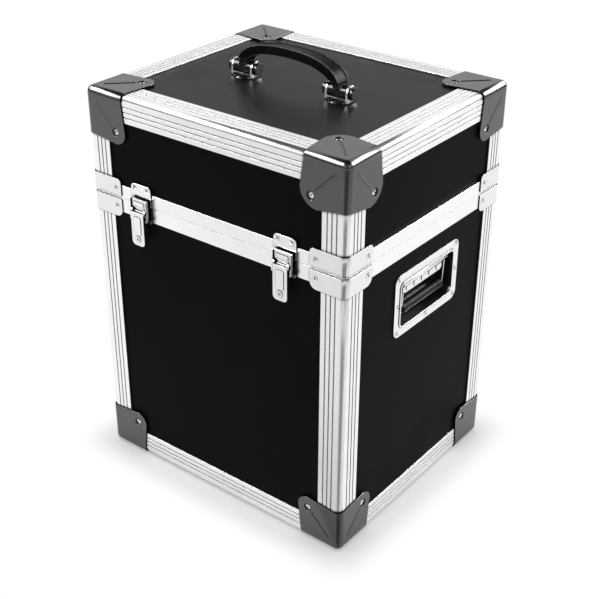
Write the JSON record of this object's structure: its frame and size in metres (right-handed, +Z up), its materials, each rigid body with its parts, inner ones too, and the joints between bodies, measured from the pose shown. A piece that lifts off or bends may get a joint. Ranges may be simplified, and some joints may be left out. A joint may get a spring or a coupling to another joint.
{
  "type": "record carrying case",
  "caption": "Upright carrying case for twelve-inch records: black panels, ribbed aluminium edges, steel corners, hinged lid with draw latches, top handle and recessed side handles.",
  "frame": {"origin": "middle of the closed case's footprint, on the surface that it stands on", "axes": "+X to the right and +Y to the rear seen from the latches, +Z up"},
  "size_m": [0.3644, 0.3286, 0.5263],
  "materials": {
    "laminate": "black laminate on plywood, satin with a fine grain",
    "ribbed_aluminium": "bright anodised, ribbed",
    "plain_aluminium": "bright anodised, plain",
    "guard_steel": "dark gunmetal plating, satin",
    "brace_steel": "bright zinc plating",
    "rivet_steel": "bright nickel plating",
    "latch_chrome": "polished chrome",
    "pin_steel": "ground steel",
    "dish_chrome": "chrome plate with a black inside",
    "bail_chrome": "polished chrome",
    "grip_rubber": "smooth black rubber",
    "spring_steel": "spring steel wire",
    "handle_plastic": "glossy black moulding",
    "bracket_chrome": "polished chrome",
    "cap_plastic": "glossy black caps",
    "hinge_steel": "bright zinc plating",
    "foam": "closed-cell foam sheet, matte"
  },
  "bodies": {
    "case": {"body_front_panel": "laminate", "body_rear_panel": "laminate", "body_left_panel": "laminate", "body_right_panel": "laminate", "body_floor_panel": "laminate", "body_posts": "ribbed_aluminium", "floor_edge_front": "ribbed_aluminium", "floor_edge_rear": "ribbed_aluminium", "floor_edge_left": "ribbed_aluminium", "floor_edge_right": "ribbed_aluminium", "body_band": "plain_aluminium", "lower_guard_front_left": "guard_steel", "lower_guard_front_right": "guard_steel", "lower_guard_rear_left": "guard_steel", "lower_guard_rear_right": "guard_steel", "body_braces": "brace_steel", "body_rivets": "rivet_steel", "latch_base_left": "latch_chrome", "latch_base_right": "latch_chrome", "latch_base_pins": "pin_steel", "side_dish_left": "dish_chrome", "side_dish_right": "dish_chrome", "side_handle_rods": "pin_steel", "side_handle_springs": "spring_steel", "hinge_body_leaves": "hinge_steel", "hinge_pins": "pin_steel", "floor_foam": "foam"},
    "lid": {"lid_front_panel": "laminate", "lid_rear_panel": "laminate", "lid_left_panel": "laminate", "lid_right_panel": "laminate", "lid_top_panel": "laminate", "lid_posts": "ribbed_aluminium", "lid_edge_front": "ribbed_aluminium", "lid_edge_rear": "ribbed_aluminium", "lid_edge_left": "ribbed_aluminium", "lid_edge_right": "ribbed_aluminium", "lid_band": "plain_aluminium", "upper_guard_front_left": "guard_steel", "upper_guard_front_right": "guard_steel", "upper_guard_rear_left": "guard_steel", "upper_guard_rear_right": "guard_steel", "lid_braces": "brace_steel", "lid_rivets": "rivet_steel", "latch_keepers": "latch_chrome", "top_handle_brackets": "bracket_chrome", "top_handle_pins": "cap_plastic", "hinge_lid_leaves": "hinge_steel", "lid_foam": "foam"},
    "top_handle": {"top_handle_bow": "handle_plastic"},
    "latch_lever_left": {"latch_lever_left": "latch_chrome", "latch_link_pin_left": "pin_steel"},
    "latch_hook_left": {"latch_hook_left": "latch_chrome"},
    "side_handle_left": {"side_bail_left": "bail_chrome", "side_grip_left": "grip_rubber"},
    "latch_lever_right": {"latch_lever_right": "latch_chrome", "latch_link_pin_right": "pin_steel"},
    "latch_hook_right": {"latch_hook_right": "latch_chrome"},
    "side_handle_right": {"side_bail_right": "bail_chrome", "side_grip_right": "grip_rubber"}
  },
  "joints": [
    {"name": "lid_hinge", "type": "hinge", "parent": "case", "child": "lid", "pos_m": [0, 0.1593, 0.3574], "axis": [-1, 0, 0], "range_deg": [0, 105]},
    {"name": "top_handle_swing", "type": "hinge", "parent": "lid", "child": "top_handle", "pos_m": [0, -0.012, 0.4904], "axis": [1, 0, 0], "range_deg": [-80, 80]},
    {"name": "latch_lever_left_swing", "type": "hinge", "parent": "case", "child": "latch_lever_left", "pos_m": [-0.103, -0.1596, 0.3514], "axis": [-1, 0, 0], "range_deg": [0, 150]},
    {"name": "latch_hook_left_swing", "type": "hinge", "parent": "latch_lever_left", "child": "latch_hook_left", "pos_m": [-0.103, -0.1596, 0.3424], "axis": [-1, 0, 0], "range_deg": [-150, 0]},
    {"name": "side_handle_left_swing", "type": "hinge", "parent": "case", "child": "side_handle_left", "pos_m": [-0.1725, 0.006, 0.2984], "axis": [0, 1, 0], "range_deg": [0, 90], "stiffness_Nm_per_rad": 0.06, "springref_deg": -20.05},
    {"name": "latch_lever_right_swing", "type": "hinge", "parent": "case", "child": "latch_lever_right", "pos_m": [0.103, -0.1596, 0.3514], "axis": [-1, 0, 0], "range_deg": [0, 150]},
    {"name": "latch_hook_right_swing", "type": "hinge", "parent": "latch_lever_right", "child": "latch_hook_right", "pos_m": [0.103, -0.1596, 0.3424], "axis": [-1, 0, 0], "range_deg": [-150, 0]},
    {"name": "side_handle_right_swing", "type": "hinge", "parent": "case", "child": "side_handle_right", "pos_m": [0.1725, 0.006, 0.2984], "axis": [0, -1, 0], "range_deg": [0, 90], "stiffness_Nm_per_rad": 0.06, "springref_deg": -20.05}
  ],
  "couplings": [
    {"joint": "latch_hook_left_swing", "follows": "latch_lever_left_swing", "ratio": -1},
    {"joint": "latch_hook_right_swing", "follows": "latch_lever_right_swing", "ratio": -1}
  ]
}
